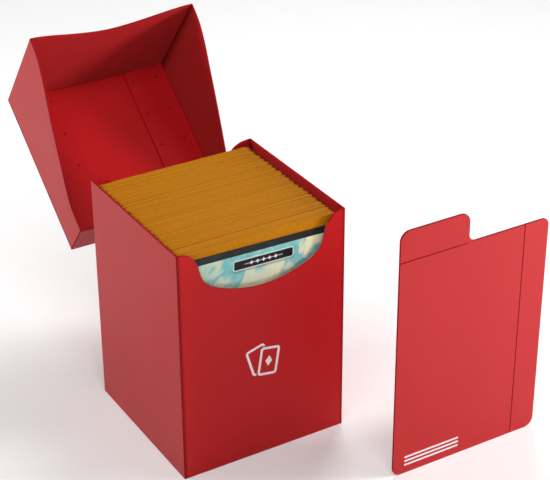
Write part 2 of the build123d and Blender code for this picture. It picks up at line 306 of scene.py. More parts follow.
    # painted shade: darkens the band beside the given folds on the outside and the inside corner of every fold
    at_fold_shade.data.foreach_set("value", [max(mark(u, v) if mark and w < thick / 2 else 0.0,
                                           0.52 * inner_fold_shade(u, v) if w > thick / 2 else 0.0) for u, v, w in flat])
    mesh.update()
    mesh.normals_split_custom_set_from_vertices([tuple(Rm @ n) for n in normals])
    ob = bpy.data.objects.new(name, mesh)
    scene.collection.objects.link(ob)
    if mat:
        mesh.materials.append(mat)
    if body:
        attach(ob, body)
    if replaces:
        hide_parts(*replaces)
    return ob


def steps(a, b, n):
    return [a + (b - a) * i / n for i in range(1, n)]


def fold_cuts(edge, sgn, r=R, n=6):
    length = math.pi / 2 * r
    return [edge - sgn * 1.2, edge - sgn * PRESS] + [edge + sgn * length * i / n for i in range(0, n)]


def fold_band_shade(*edges):
    """Painted shade beside the folds at the given u: the face darkens over its last 1.2 mm and across the rounded fold.
    """
    def mark(u, v):
        return max(min(1.0, max(0.0, 1 - (abs(e) - abs(u)) / 1.2)) if u * e > 0 else 0.0 for e in edges)
    return mark


QF = math.pi / 2 * R                     # developed length of a fold


def swell(u, v, u0, u1, v0, v1, h):
    """A shallow bow, flat at its borders."""
    a = min(max((u - u0) / (u1 - u0), 0), 1)
    b = min(max((v - v0) / (v1 - v0), 0), 1)
    return h * math.sin(math.pi * a) ** 2 * math.sin(math.pi * b) ** 2


# ------------------------------------------------------------------ materials
def new_mat(name):
    m = bpy.data.materials.new(name)
    m.use_nodes = True
    nt = m.node_tree
    nt.nodes.clear()
    return m, nt


def node(nt, kind, **kw):
    n = nt.nodes.new(kind)
    for k, v in kw.items():
        if k == "inputs":
            for a, b in v.items():
                n.inputs[a].default_value = b
        else:
            setattr(n, k, v)
    return n


def math_node(nt, op, a, b=None, clamp=False):
    n = nt.nodes.new("ShaderNodeMath")
    n.operation, n.use_clamp = op, clamp
    for i, x in enumerate((a, b)):
        if x is None:
            continue
        if isinstance(x, (int, float)):
            n.inputs[i].default_value = x
        else:
            nt.links.new(x, n.inputs[i])
    return n.outputs[0]


def mix_rgb(nt, fac, a, b, mode="MIX"):
    n = nt.nodes.new("ShaderNodeMix")
    n.data_type, n.blend_type = "RGBA", mode
    for sock, x in ((n.inputs[0], fac), (n.inputs[6], a), (n.inputs[7], b)):
        if isinstance(x, (int, float)):
            sock.default_value = x
        elif isinstance(x, tuple):
            sock.default_value = x if len(x) == 4 else (*x, 1)
        else:
            nt.links.new(x, sock)
    return n.outputs[2]


def ramp(nt, fac, stops):
    n = nt.nodes.new("ShaderNodeValToRGB")
    while len(n.color_ramp.elements) < len(stops):
        n.color_ramp.elements.new(0.5)
    for e, (p, c) in zip(n.color_ramp.elements, stops):
        e.position = p
        e.color = c if len(c) == 4 else (*c, 1)
    nt.links.new(fac, n.inputs[0])
    return n.outputs[0]


def noise(nt, vec, scale, detail=2.0, rough=0.5, w=None):
    n = nt.nodes.new("ShaderNodeTexNoise")
    n.inputs["Scale"].default_value = scale
    n.inputs["Detail"].default_value = detail
    n.inputs["Roughness"].default_value = rough
    nt.links.new(vec, n.inputs["Vector"])
    return n.outputs["Fac"]


RED = (0.478, 0.0085, 0.0108)
RED_ROUGH = 0.42
RED_SPEC = 0.12
RED_SHEEN = 0.18                           # the fine emboss scatters a little light at shallow angles


def red_sheet(name, base=RED, rough=RED_ROUGH, spec=RED_SPEC, sheen=RED_SHEEN, grain=1.0, fold_shade_weight=1.0):
    """Solid-coloured polypropylene sheet with a fine matte grain, and painted shade at the folds, the creases and the
    cut edges.
    """
    m, nt = new_mat(name)
    L = nt.links.new
    tc = node(nt, "ShaderNodeTexCoord").outputs["Object"]
    # matte embossed grain of extruded sheet, a few grains to the millimetre
    g1 = noise(nt, tc, 5200, 3, 0.6)
    g2 = noise(nt, tc, 950, 2, 0.5)
    # slow waviness of a thin sheet
    wave = noise(nt, tc, 45, 1, 0.4)
    # faint handling marks: long thin scratches
    stretch = node(nt, "ShaderNodeMapping")
    stretch.inputs["Rotation"].default_value = (0.3, 0.5, 0.9)
    stretch.inputs["Scale"].default_value = (900, 900, 26)
    L(tc, stretch.inputs["Vector"])
    s = noise(nt, stretch.outputs[0], 1.0, 1, 0.3)
    scratch = ramp(nt, s, [(0.0, (0, 0, 0)), (0.735, (0, 0, 0)), (0.79, (1, 1, 1)), (1.0, (1, 1, 1))])
    tone = noise(nt, tc, 30, 2, 0.5)
    light = tuple(min(1, c * 1.05) for c in base)
    dark = tuple(c * 0.95 for c in base)
    col = mix_rgb(nt, tone, dark, light)
    # painted shade: a darker band beside the front's rounded folds on the outside, and darker inside corners of the
    # folds
    fold = node(nt, "ShaderNodeAttribute", attribute_name="fold", attribute_type="GEOMETRY").outputs["Fac"]
    fold_shade = math_node(nt, "MULTIPLY", fold, 0.75 * fold_shade_weight)
    col = mix_rgb(nt, fold_shade, col, (base[0] * 0.38, base[1] * 0.5, base[2] * 0.5))
    # cut edges: painted shade darkens the outer bevel line; the middle of the cut face is painted a darker red, and
    # lighter pink along the front notch
    cut = node(nt, "ShaderNodeAttribute", attribute_name="cut", attribute_type="GEOMETRY").outputs["Fac"]

    def within(a, b):
        return math_node(nt, "MULTIPLY", math_node(nt, "GREATER_THAN", cut, a), math_node(nt, "LESS_THAN", cut, b))

    rim = math_node(nt, "GREATER_THAN", cut, 0.9)
    # painted shade in the crease groove of the divider
    col = mix_rgb(nt, math_node(nt, "MULTIPLY", within(0.1, 0.3), 0.55), col, (base[0] * 0.42, base[1] * 0.6, base[2] * 0.6))
    col = mix_rgb(nt, math_node(nt, "MULTIPLY", rim, 0.75), col, (0.085, 0.004, 0.008))
    col = mix_rgb(nt, math_node(nt, "MULTIPLY", within(0.45, 0.55), 0.8), col, (0.26, 0.0085, 0.010))
    col = mix_rgb(nt, math_node(nt, "MULTIPLY", within(0.55, 0.65), 0.8), col, (0.60, 0.20, 0.18))
    bs = node(nt, "ShaderNodeBsdfPrincipled")
    L(col, bs.inputs["Base Color"])
    r = math_node(nt, "ADD", math_node(nt, "MULTIPLY", g2, 0.10), rough - 0.05)
    r = math_node(nt, "ADD", r, math_node(nt, "MULTIPLY", scratch, -0.06))
    L(r, bs.inputs["Roughness"])
    edge = math_node(nt, "GREATER_THAN", cut, 0.1)
    sp = math_node(nt, "MULTIPLY", math_node(nt, "SUBTRACT", 1.0, math_node(nt, "MULTIPLY", fold_shade, 0.7)), spec)
    sp = math_node(nt, "MULTIPLY", sp, math_node(nt, "SUBTRACT", 1.0, math_node(nt, "MULTIPLY", edge, 0.85)))
    L(sp, bs.inputs["Specular IOR Level"])
    plain = math_node(nt, "MAXIMUM", edge, math_node(nt, "MULTIPLY", fold_shade, 2.6, True))
    L(math_node(nt, "MULTIPLY", math_node(nt, "SUBTRACT", 1.0, plain), sheen), bs.inputs["Sheen Weight"])
    bs.inputs["Sheen Roughness"].default_value = 0.35
    bs.inputs["IOR"].default_value = 1.49
    h = math_node(nt, "ADD", math_node(nt, "MULTIPLY", g1, 0.55 * grain), math_node(nt, "MULTIPLY", g2, 0.45 * grain))
    h = math_node(nt, "ADD", h, math_node(nt, "MULTIPLY", scratch, -0.5))
    b1 = node(nt, "ShaderNodeBump", inputs={"Strength": 0.35, "Distance": 0.00003})
    L(h, b1.inputs["Height"])
    b2 = node(nt, "ShaderNodeBump", inputs={"Strength": 0.22, "Distance": 0.0010})
    L(wave, b2.inputs["Height"])
    L(b2.outputs[0], b1.inputs["Normal"])
    L(b1.outputs[0], bs.inputs["Normal"])
    out = node(nt, "ShaderNodeOutputMaterial")
    L(bs.outputs[0], out.inputs["Surface"])
    return m


MAT_RED = red_sheet("red_polypropylene_sheet")
# painted shade and haze: the divider is the same red plastic as the walls, its base colour a little darker and greyer
# than RED to offset the strong near light on it
MAT_DIV = red_sheet("red_divider_sheet", base=(0.46, 0.0125, 0.0150), rough=0.46, spec=0.20, sheen=0.22)
MAT_WEB = red_sheet("red_pressed_crease", base=(0.34, 0.010, 0.012), rough=0.34, sheen=0.1, grain=0.3)
MAT_SPOT = red_sheet("red_weld_spot", base=(0.27, 0.006, 0.008), rough=0.45, spec=0.05, sheen=0.0, grain=0.2)


def ink(name):
    m, nt = new_mat(name)
    L = nt.links.new
    tc = node(nt, "ShaderNodeTexCoord").outputs["Object"]
    n1 = noise(nt, tc, 2600, 3, 0.6)
    n2 = noise(nt, tc, 420, 2, 0.5)
    col = ramp(nt, n1, [(0.25, (0.66, 0.58, 0.58)), (0.5, (0.84, 0.80, 0.80)), (0.8, (0.90, 0.88, 0.88))])
    col = mix_rgb(nt, math_node(nt, "MULTIPLY", n2, 0.25), col, (0.80, 0.66, 0.66))
    bs = node(nt, "ShaderNodeBsdfPrincipled")
    L(col, bs.inputs["Base Color"])
    L(math_node(nt, "ADD", math_node(nt, "MULTIPLY", n2, 0.15), 0.36), bs.inputs["Roughness"])
    b = node(nt, "ShaderNodeBump", inputs={"Strength": 0.3, "Distance": 0.00002})
    L(n1, b.inputs["Height"])
    L(b.outputs[0], bs.inputs["Normal"])
    out = node(nt, "ShaderNodeOutputMaterial")
    L(bs.outputs[0], out.inputs["Surface"])
    return m


MAT_INK = ink("white_ink")


def sleeve_mat(name, base=(0.470, 0.178, 0.0024), rough=0.50, vary=True):
    """Ochre sleeve film, matte, with painted shade in the slots between sleeves and between leaves, mixed with a random
    darker tone per sleeve.
    """
    m, nt = new_mat(name)
    L = nt.links.new
    tc = node(nt, "ShaderNodeTexCoord").outputs["Object"]
    g = noise(nt, tc, 3600, 3, 0.6)
    slow = noise(nt, tc, 55, 2, 0.5)
    sand = noise(nt, tc, 1150, 2, 0.55)
    hi_c, lo_c = tuple(min(1, c * 1.10) for c in base), tuple(c * 0.90 for c in base)
    col = mix_rgb(nt, ramp(nt, g, [(0.35, (0, 0, 0)), (0.65, (1, 1, 1))]), lo_c, hi_c)
    if vary:
        # painted shade in the slots, mixed with a random darker tone per sleeve
        tone_and_slot_shade = node(nt, "ShaderNodeAttribute", attribute_name="tone_and_slot_shade", attribute_type="GEOMETRY").outputs["Fac"]
        col = mix_rgb(nt, tone_and_slot_shade, col, (base[0] * 0.50, base[1] * 0.40, base[2] * 0.35))
    col = mix_rgb(nt, math_node(nt, "MULTIPLY", slow, 0.15), col, (base[0] * 1.15, base[1] * 1.10, base[2] * 1.1))
    col = mix_rgb(nt, ramp(nt, sand, [(0.42, (0.32, 0.32, 0.32)), (0.56, (0, 0, 0))]), col,
                  (base[0] * 0.72, base[1] * 0.66, base[2] * 0.6))
    bs = node(nt, "ShaderNodeBsdfPrincipled")
    L(col, bs.inputs["Base Color"])
    L(math_node(nt, "ADD", math_node(nt, "MULTIPLY", g, 0.14), rough - 0.07), bs.inputs["Roughness"])
    bs.inputs["Specular IOR Level"].default_value = 0.06
    b = node(nt, "ShaderNodeBump", inputs={"Strength": 0.35, "Distance": 0.00003})
    L(g, b.inputs["Height"])
    L(b.outputs[0], bs.inputs["Normal"])
    out = node(nt, "ShaderNodeOutputMaterial")
    L(bs.outputs[0], out.inputs["Surface"])
    return m


MAT_SLEEVE = sleeve_mat("ochre_sleeve_film")
# painted highlight: the front sleeve's leaf is the same film, its base colour a little lighter and without the painted
# slot shade or random tone
MAT_LEAF = sleeve_mat("ochre_sleeve_leaf", base=(0.50, 0.190, 0.0025), vary=False)

CARD_TILT = math.radians(1.5)            # the front card sits with its right side lower


def card_coords(nt, tc, cx, cz, tilt):
    """Object coordinates turned into a card's own, in mm from its centre."""
    sep = node(nt, "ShaderNodeSeparateXYZ")
    nt.links.new(tc, sep.inputs[0])
    dx = math_node(nt, "MULTIPLY", math_node(nt, "SUBTRACT", sep.outputs["X"], cx * MM), 1000.0)
    dz = math_node(nt, "MULTIPLY", math_node(nt, "SUBTRACT", sep.outputs["Z"], cz * MM), 1000.0)
    c, s = math.cos(tilt), math.sin(tilt)
    x = math_node(nt, "SUBTRACT", math_node(nt, "MULTIPLY", dx, c), math_node(nt, "MULTIPLY", dz, s))
    z = math_node(nt, "ADD", math_node(nt, "MULTIPLY", dx, s), math_node(nt, "MULTIPLY", dz, c))
    return x, z


def box_distance(nt, x, z, hx, hz, r):
    """Distance inside (positive) a rounded rectangle centred at the origin."""
    ax, az = math_node(nt, "ABSOLUTE", x), math_node(nt, "ABSOLUTE", z)
    dx = math_node(nt, "MAXIMUM", math_node(nt, "SUBTRACT", ax, hx - r), 0.0)
    dz = math_node(nt, "MAXIMUM", math_node(nt, "SUBTRACT", az, hz - r), 0.0)
    q = math_node(nt, "SQRT", math_node(nt, "ADD", math_node(nt, "MULTIPLY", dx, dx), math_node(nt, "MULTIPLY", dz, dz)))
    return math_node(nt, "SUBTRACT", r, q)


def card_mat(name, cx, cz, seed, tilt=0.0, plate=None):
    """Printed card face: black border, a soft painted sky, and a blank pale panel."""
    m, nt = new_mat(name)
    L = nt.links.new
    tc = node(nt, "ShaderNodeTexCoord").outputs["Object"]
    x, zc = card_coords(nt, tc, cx, cz, tilt)
    z = math_node(nt, "SUBTRACT", 44.0, zc)              # depth below the card's top
    ax = math_node(nt, "ABSOLUTE", x)
    comb = node(nt, "ShaderNodeCombineXYZ")
    L(x, comb.inputs["X"])
    L(z, comb.inputs["Y"])
    comb.inputs["Z"].default_value = 7.3 * seed
    vec = comb.outputs[0]
    n = nt.nodes.new("ShaderNodeTexNoise")
    n.inputs["Scale"].default_value = 0.085
    n.inputs["Detail"].default_value = 7
    n.inputs["Roughness"].default_value = 0.60
    n.inputs["Distortion"].default_value = 1.1
    L(vec, n.inputs["Vector"])
    fine = noise(nt, vec, 0.9, 4, 0.65)
    brush = noise(nt, vec, 0.28, 4, 0.7)
    wide = noise(nt, vec, 0.045, 2, 0.5)
    base = ramp(nt, brush, [(0.30, (0.12, 0.46, 0.43)), (0.45, (0.20, 0.58, 0.54)), (0.56, (0.26, 0.58, 0.62)),
                            (0.70, (0.50, 0.76, 0.70))])
    cream = ramp(nt, n.outputs["Fac"], [(0.50, (0, 0, 0)), (0.56, (0.75, 0.75, 0.75)), (0.66, (1, 1, 1))])
    # the clouds gather to the right and below
    lean = math_node(nt, "ADD", math_node(nt, "MULTIPLY", x, 0.010), 0.88, True)
    art = mix_rgb(nt, math_node(nt, "MULTIPLY", cream, lean), base, (0.90, 0.86, 0.56))
    art = mix_rgb(nt, math_node(nt, "MULTIPLY", fine, 0.14), art, (0.08, 0.28, 0.28))
    if plate:
        # printed drop shadow under the name plate
        px, pz, pw, ph = plate
        sx = math_node(nt, "SUBTRACT", x, px + 0.2)
        sz = math_node(nt, "SUBTRACT", zc, pz - 0.55)
        sd = box_distance(nt, sx, sz, pw / 2 + 0.4, ph / 2 + 0.4, 1.4)
        sh = math_node(nt, "MULTIPLY", math_node(nt, "ADD", sd, 0.2, True), 0.62, True)
        art = mix_rgb(nt, sh, art, (0.030, 0.10, 0.10))
    # text panel below, blank, with a thin rule round it
    panel = ramp(nt, wide, [(0.3, (0.62, 0.55, 0.42)), (0.7, (0.72, 0.66, 0.52))])
    panel = mix_rgb(nt, math_node(nt, "MULTIPLY", fine, 0.12), panel, (0.40, 0.33, 0.22))
    in_panel = math_node(nt, "MULTIPLY", math_node(nt, "GREATER_THAN", z, 54.0), math_node(nt, "LESS_THAN", z, 80.5))
    in_panel = math_node(nt, "MULTIPLY", in_panel, math_node(nt, "LESS_THAN", ax, 26.5))
    rule = math_node(nt, "MULTIPLY", math_node(nt, "GREATER_THAN", z, 53.2), math_node(nt, "LESS_THAN", z, 81.3))
    rule = math_node(nt, "MULTIPLY", rule, math_node(nt, "LESS_THAN", ax, 27.3))
    col = mix_rgb(nt, rule, art, (0.020, 0.022, 0.024))
    col = mix_rgb(nt, in_panel, col, panel)
    # black border, wavering by a tenth of a millimetre
    edge = math_node(nt, "MULTIPLY", fine, 0.10)
    bx = math_node(nt, "GREATER_THAN", math_node(nt, "ADD", ax, edge), 28.70)
    bt = math_node(nt, "LESS_THAN", math_node(nt, "SUBTRACT", z, edge), 2.80)
    bb = math_node(nt, "GREATER_THAN", z, 84.9)
    border = math_node(nt, "ADD", math_node(nt, "ADD", bx, bt, True), bb, True)
    col = mix_rgb(nt, border, col, ramp(nt, brush, [(0.3, (0.013, 0.016, 0.018)), (0.7, (0.018, 0.023, 0.025))]))
    bs = node(nt, "ShaderNodeBsdfPrincipled")
    L(col, bs.inputs["Base Color"])
    L(math_node(nt, "ADD", math_node(nt, "MULTIPLY", fine, 0.10), 0.36), bs.inputs["Roughness"])
    bs.inputs["Specular IOR Level"].default_value = 0.2
    b = node(nt, "ShaderNodeBump", inputs={"Strength": 0.15, "Distance": 0.00003})
    L(fine, b.inputs["Height"])
    L(b.outputs[0], bs.inputs["Normal"])
    out = node(nt, "ShaderNodeOutputMaterial")
    L(bs.outputs[0], out.inputs["Surface"])
    return m


c_lo, c_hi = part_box("front_card")
p_lo, p_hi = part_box("card_name_plate")
CARD_C = ((c_lo.x + c_hi.x) / 2 / MM, (c_lo.z + c_hi.z) / 2 / MM)
PLATE_C = ((p_lo.x + p_hi.x) / 2 / MM, (p_lo.z + p_hi.z) / 2 / MM)
PLATE_W, PLATE_H = 26.2, 4.5
_dx, _dz = PLATE_C[0] - CARD_C[0], PLATE_C[1] - CARD_C[1]
PLATE_ON_CARD = (_dx * math.cos(CARD_TILT) - _dz * math.sin(CARD_TILT),
                 _dx * math.sin(CARD_TILT) + _dz * math.cos(CARD_TILT), PLATE_W, PLATE_H)
MAT_CARD = card_mat("printed_card", CARD_C[0], CARD_C[1], 1.0, CARD_TILT, PLATE_ON_CARD)


def plate_mat(name):
    """Name plate print: black bar with a thin pale rim and a plain ornament, no lettering."""
    m, nt = new_mat(name)
    L = nt.links.new
    tc = node(nt, "ShaderNodeTexCoord").outputs["Object"]
    x, z = card_coords(nt, tc, PLATE_C[0], PLATE_C[1], CARD_TILT)
    d = box_distance(nt, x, z, PLATE_W / 2, PLATE_H / 2, 1.1)
    ax, az = math_node(nt, "ABSOLUTE", x), math_node(nt, "ABSOLUTE", z)
    fine = noise(nt, tc, 1800, 3, 0.6)
    rim = math_node(nt, "LESS_THAN", d, 0.46)
    base = ramp(nt, fine, [(0.3, (0.004, 0.004, 0.005)), (0.8, (0.010, 0.010, 0.011))])
    # a row of small lozenges joined by a thin line
    step = math_node(nt, "ABSOLUTE", math_node(nt, "SUBTRACT", math_node(nt, "FRACT", math_node(
        nt, "ADD", math_node(nt, "MULTIPLY", x, 1 / 2.6), 0.5)), 0.5))
    loz = math_node(nt, "ADD", math_node(nt, "MULTIPLY", step, 2.6), math_node(nt, "MULTIPLY", az, 0.95))
    orn = math_node(nt, "MULTIPLY", math_node(nt, "LESS_THAN", loz, 0.80), math_node(nt, "LESS_THAN", ax, 6.8))
    line = math_node(nt, "MULTIPLY", math_node(nt, "LESS_THAN", ax, 8.2), math_node(nt, "LESS_THAN", az, 0.13))
    mark = math_node(nt, "ADD", math_node(nt, "MULTIPLY", line, 0.8), math_node(nt, "MULTIPLY", orn, 0.9), True)
    col = mix_rgb(nt, mark, base, (0.82, 0.82, 0.80))
    col = mix_rgb(nt, rim, col, ramp(nt, fine, [(0.3, (0.58, 0.66, 0.66)), (0.7, (0.72, 0.78, 0.77))]))
    bs = node(nt, "ShaderNodeBsdfPrincipled")
    L(col, bs.inputs["Base Color"])
    L(math_node(nt, "ADD", math_node(nt, "MULTIPLY", fine, 0.1), 0.34), bs.inputs["Roughness"])
    bs.inputs["Specular IOR Level"].default_value = 0.2
    out = node(nt, "ShaderNodeOutputMaterial")
    L(bs.outputs[0], out.inputs["Surface"])
    return m


MAT_PLATE = plate_mat("name_plate_print")


def film_mat(name):
    m, nt = new_mat(name)
    L = nt.links.new
    tc = node(nt, "ShaderNodeTexCoord").outputs["Object"]
    n1 = noise(nt, tc, 140, 3, 0.5)
    n2 = noise(nt, tc, 3800, 2, 0.5)
    bs = node(nt, "ShaderNodeBsdfPrincipled")
    L(ramp(nt, n1, [(0.3, (0.05, 0.055, 0.055)), (0.7, (0.07, 0.075, 0.075))]), bs.inputs["Base Color"])
    L(math_node(nt, "ADD", math_node(nt, "MULTIPLY", n1, 0.10), 0.40), bs.inputs["Roughness"])
    bs.inputs["Alpha"].default_value = 0.015
    bs.inputs["Specular IOR Level"].default_value = 0.04
    b = node(nt, "ShaderNodeBump", inputs={"Strength": 0.10, "Distance": 0.0002})
    L(math_node(nt, "ADD", n1, math_node(nt, "MULTIPLY", n2, 0.005)), b.inputs["Height"])
    L(b.outputs[0], bs.inputs["Normal"])
    out = node(nt, "ShaderNodeOutputMaterial")
    L(bs.outputs[0], out.inputs["Surface"])
    return m


MAT_FILM = film_mat("clear_sleeve_film")

# ------------------------------------------------------------------ box body
NOTCH = [(34.6, 0.0), (33.2, 0.22), (31.4, 0.80), (30.7, 1.25), (30.0, 2.00), (28.6, 3.70), (27.6, 5.40),
         (27.05, 7.2), (26.6, 9.20), (26.0, 11.3), (24.9, 13.5), (23.0, 15.5),
         (20.5, 17.2), (17.0, 18.75), (13.0, 20.1), (9.3, 21.05), (4.5, 21.85), (0.0, 22.1)]
curve = catmull([(x, H - d) for x, d in NOTCH] + [(-x, H - d) for x, d in reversed(NOTCH[:-1])], 4)
U0 = XI + QF
fold_u = (fold_cuts(-XI, -1) + fold_cuts(XI, 1))


def ends_seam(*us):
    def kind(p, q):
        for u in us:
            if abs(p[0] - u) < 1e-3 and abs(q[0] - u) < 1e-3:
                return "seam"
        return None
    return kind


sheet("wall_front", [(-U0, 0), (U0, 0), (U0, H)] + curve + [(-U0, H)],
      folded((0, FRONT_Y, 0), (1, 0, 0), (0, 0, 1), (0, -1, 0), -XI, XI),
      fold_u + steps(-XI, XI, 14), steps(0, H, 12), kind=ends_seam(-U0, U0),
      # painted shade beside the two vertical folds
      mat=MAT_RED, body="box", replaces=["front_panel"], mark=fold_band_shade(-XI, XI),
      # the notch's cut face gets a lighter pink middle
      pale_cut_face=lambda p, q: abs(p[0]) < 28.5 and 60 < p[1] < H - 1)
for side, sx in (("left", -1), ("right", 1)):
    sheet("wall_" + side, [(-YI, 0), (YI, 0), (YI, H), (-YI, H)],
          folded((sx * W / 2, 0, 0), (0, sx, 0), (0, 0, 1), (sx, 0, 0), -YI, YI,
                 bow=lambda u, v: swell(u, v, -YI, YI, 0, H, 0.06)),
          steps(-YI, YI, 12) + [-YI + PRESS, YI - PRESS], steps(0, H, 12), kind=ends_seam(-YI, YI),
          mat=MAT_RED, body="box", replaces=[side + "_side_panel"])
BACK_CURVE = [(34.6, 0.0), (32.0, 0.30), (30.4, 0.75), (28.4, 1.70), (26.2, 3.60), (24.4, 6.20),
              (22.6, 9.00), (20.4, 11.2), (18.0, 12.4), (16.0, 12.8)]
bc = catmull([(x, H - d) for x, d in BACK_CURVE], 4)
for side, s in (("left", 1), ("right", -1)):
    if s > 0:
        pts = [(16.0, 0), (U0, 0), (U0, H)] + bc
    else:
        pts = [(-U0, 0), (-16.0, 0)] + [(-x, z) for x, z in reversed(bc)] + [(-U0, H)]
    sheet("back_flap_" + side + "_wall", pts,
          folded((0, D / 2, 0), (-1, 0, 0), (0, 0, 1), (0, 1, 0), -XI, XI),
          (fold_cuts(XI, 1) if s > 0 else fold_cuts(-XI, -1)) + [s * 24.0, s * 30.0], steps(0, H, 12),
          kind=ends_seam(s * U0), mat=MAT_RED, body="box", replaces=["back_flap_" + side])
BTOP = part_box("back_panel")[1].z / MM
XB = 34.95
sheet("wall_back", [(-XB, T), (XB, T)] + arc(XB - 1.4, BTOP - 1.4, 1.4, 0, 90, 4)
      + arc(-XB + 1.4, BTOP - 1.4, 1.4, 90, 180, 4),
      folded((0, YIN, 0), (-1, 0, 0), (0, 0, 1), (0, 1, 0)),
      steps(-XB, XB, 10), steps(T, BTOP, 8), mat=MAT_RED, body="box", replaces=["back_panel"])


def floor_plate(name, nodes_, x0, x1, y0, y1, z, r=0.4):
    pts = (arc(x0 + r, -y1 + r, r, 180, 270, 3) + arc(x1 - r, -y1 + r, r, 270, 360, 3)
           + arc(x1 - r, -y0 - r, r, 0, 90, 3) + arc(x0 + r, -y0 - r, r, 90, 180, 3))
    return sheet(name, pts, folded((0, 0, z), (1, 0, 0), (0, -1, 0), (0, 0, -1)),
                 steps(x0, x1, 6), steps(-y1, -y0, 6), mat=MAT_RED, body="box", replaces=nodes_)


for nm, nd, r in (("floor_outer", "bottom_panel", 0.45), ("floor_flap_left", "bottom_flap_left", 2.5),
                  ("floor_flap_right", "bottom_flap_right", 2.5), ("floor_inner", "bottom_inner_flap", 2.5)):
    a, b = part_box(nd)
    floor_plate(nm, [nd], a.x / MM, b.x / MM, a.y / MM, b.y / MM, a.z / MM, r)

# ------------------------------------------------------------------ hinge
def taper(lo_v=None, hi_v=None):
    """Sheet thins to the pressed web near a crease."""
    def thin(u, v):
        s = 1.0
        for c in (lo_v, hi_v):
            if c is not None:
                d = abs(v - c)
                s = min(s, min(1.0, 0.286 + (1 - 0.286) * (d - 0.22) / 0.48))
        return max(s, 0.286)
    return thin


BACK = ((0, LYB, 0), (-1, 0, 0), (0, 0, 1), (0, 1, 0))
t_lo, t_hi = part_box("lid_weld_tab")
TB = t_lo.z / MM
hx = HINGE_X
sheet("weld_tab", arc(-hx + 4, TB + 4, 4, 180, 270) + arc(hx - 4, TB + 4, 4, 270, 360)
      + [(hx, C1.z - 0.22), (-hx, C1.z - 0.22)],
      folded(*BACK, thin=taper(hi_v=C1.z)), steps(-hx, hx, 8),
      steps(TB, C1.z - 2, 5) + [C1.z - 0.7], mat=MAT_RED, body="box", replaces=["lid_weld_tab"])
sheet("strip", [(-hx, C1.z + 0.22), (hx, C1.z + 0.22), (hx, C2.z - 0.22), (-hx, C2.z - 0.22)],
      folded(*BACK, thin=taper(lo_v=C1.z, hi_v=C2.z)), steps(-hx, hx, 8),
      [C1.z + 0.7, C1.z + 3.5, C2.z - 3.5, C2.z - 0.7], place=STRIP_OPEN, mat=MAT_RED,
      body="hinge_strip", replaces=["hinge_strip"])

# ------------------------------------------------------------------ lid
LXF, LTF = LX - R, LZ - R                # flats end here
lu0 = LXF + QF


def lid_sheet(name, pts, at, uc, vc, kind=None, replaces=(), mark=None):
    return sheet(name, pts, at, uc, vc, kind=kind, place=LID_OPEN, mat=MAT_RED, body="lid",
                 replaces=replaces, mark=mark)


# top, folded down at front and back
a, b = -(LYB - R), -LYF - R
ua, ub = a - QF, b + QF
lid_sheet("lid_top", [(ua, -LX), (b, -LX), (b, -LXF), (ub, -LXF), (ub, LXF),
                      (b, LXF), (b, LX), (ua, LX)],
          folded((0, 0, LZ), (0, -1, 0), (1, 0, 0), (0, 0, 1), a, b,
                 bow=lambda u, v: swell(u, v, a, b, -LX, LX, 0.12)),
          fold_cuts(a, -1) + fold_cuts(b, 1) + steps(a, b, 12), steps(-LX, LX, 12),
          kind=ends_seam(ua, ub), replaces=["lid_top_panel"])
ARCH = [(36.4, 51.75), (33.0, 51.95), (28.8, 52.75), (25.0, 53.7), (20.4, 55.05), (15.8, 56.35),
        (11.3, 57.5), (7.0, 58.35), (3.5, 58.85), (0.0, 59.0)]
arch = catmull([(-x, z) for x, z in ARCH] + [(x, z) for x, z in reversed(ARCH[:-1])], 4)


def front_kind(p, q):
    if abs(p[0] - q[0]) < 1e-3 and abs(abs(p[0]) - lu0) < 1e-3:
        return "seam"
    if abs(p[1] - LTF) < 1e-3 and abs(q[1] - LTF) < 1e-3 and abs(p[0] + q[0]) < 2 * LXF:
        return "seam"
    return None


lid_sheet("lid_front", [(-lu0, 51.75)] + arch + [(lu0, 51.75), (lu0, LTF), (LXF, LTF), (-LXF, LTF), (-lu0, LTF)],
          folded((0, LYF, 0), (1, 0, 0), (0, 0, 1), (0, -1, 0), -LXF, LXF,
                 bow=lambda u, v: 0.55 * math.cos(math.pi * u / 2 / LXF) ** 2
                 * min(1, max(0, (LTF - v) / 30)) ** 1.5),
          fold_cuts(-LXF, -1) + fold_cuts(LXF, 1) + steps(-LXF, LXF, 14), steps(50, LTF, 8),
          kind=front_kind, replaces=["lid_front_panel"])
lid_sheet("lid_back", [(-LX, C2.z + 0.7), (-hx, C2.z + 0.7), (-hx, C2.z + 0.22), (hx, C2.z + 0.22),
                       (hx, C2.z + 0.7), (LX, C2.z + 0.7), (LX, LTF), (-LX, LTF)],
          folded(*BACK, thin=lambda u, v: taper(lo_v=C2.z)(u, v) if abs(u) < hx + 0.02 else 1.0),
          steps(-LX, LX, 10), [C2.z + 0.7, C2.z + 2, C2.z + 8],
          kind=lambda p, q: "seam" if abs(p[1] - LTF) < 1e-3 and abs(q[1] - LTF) < 1e-3 else None,
          replaces=["lid_back_panel"])
SIDE = [(-36.55, 51.75), (-33.6, 51.9), (-30.7, 52.3), (-26.0, 53.6), (-19.1, 57.0), (-11.9, 61.5),
        (-3.4, 66.6), (4.0, 70.9), (12.0, 75.6), (19.3, 80.0), (23.6, 82.0), (27.8, 82.9), (35.7, 83.0)]
sc = catmull(SIDE, 4)
YF, YB = LYF + R, LYB - T                # side walls run from the front fold to the back wall
FZ = LZ - T - R                          # their top edge folds into the flaps


def side_kind(p, q):
    if abs(p[0] - q[0]) < 1e-3 or (abs(p[1] - FZ) < 1e-3 and abs(q[1] - FZ) < 1e-3):
        return "seam"
    return None


def side_bow(y, v):
    low = min(1, max(0, (FZ - v) / 32)) ** 1.4
    a_ = math.sin(math.pi * min(1, max(0, (y - YF) / (YB - YF)))) ** 2
    return 0.35 * low * a_


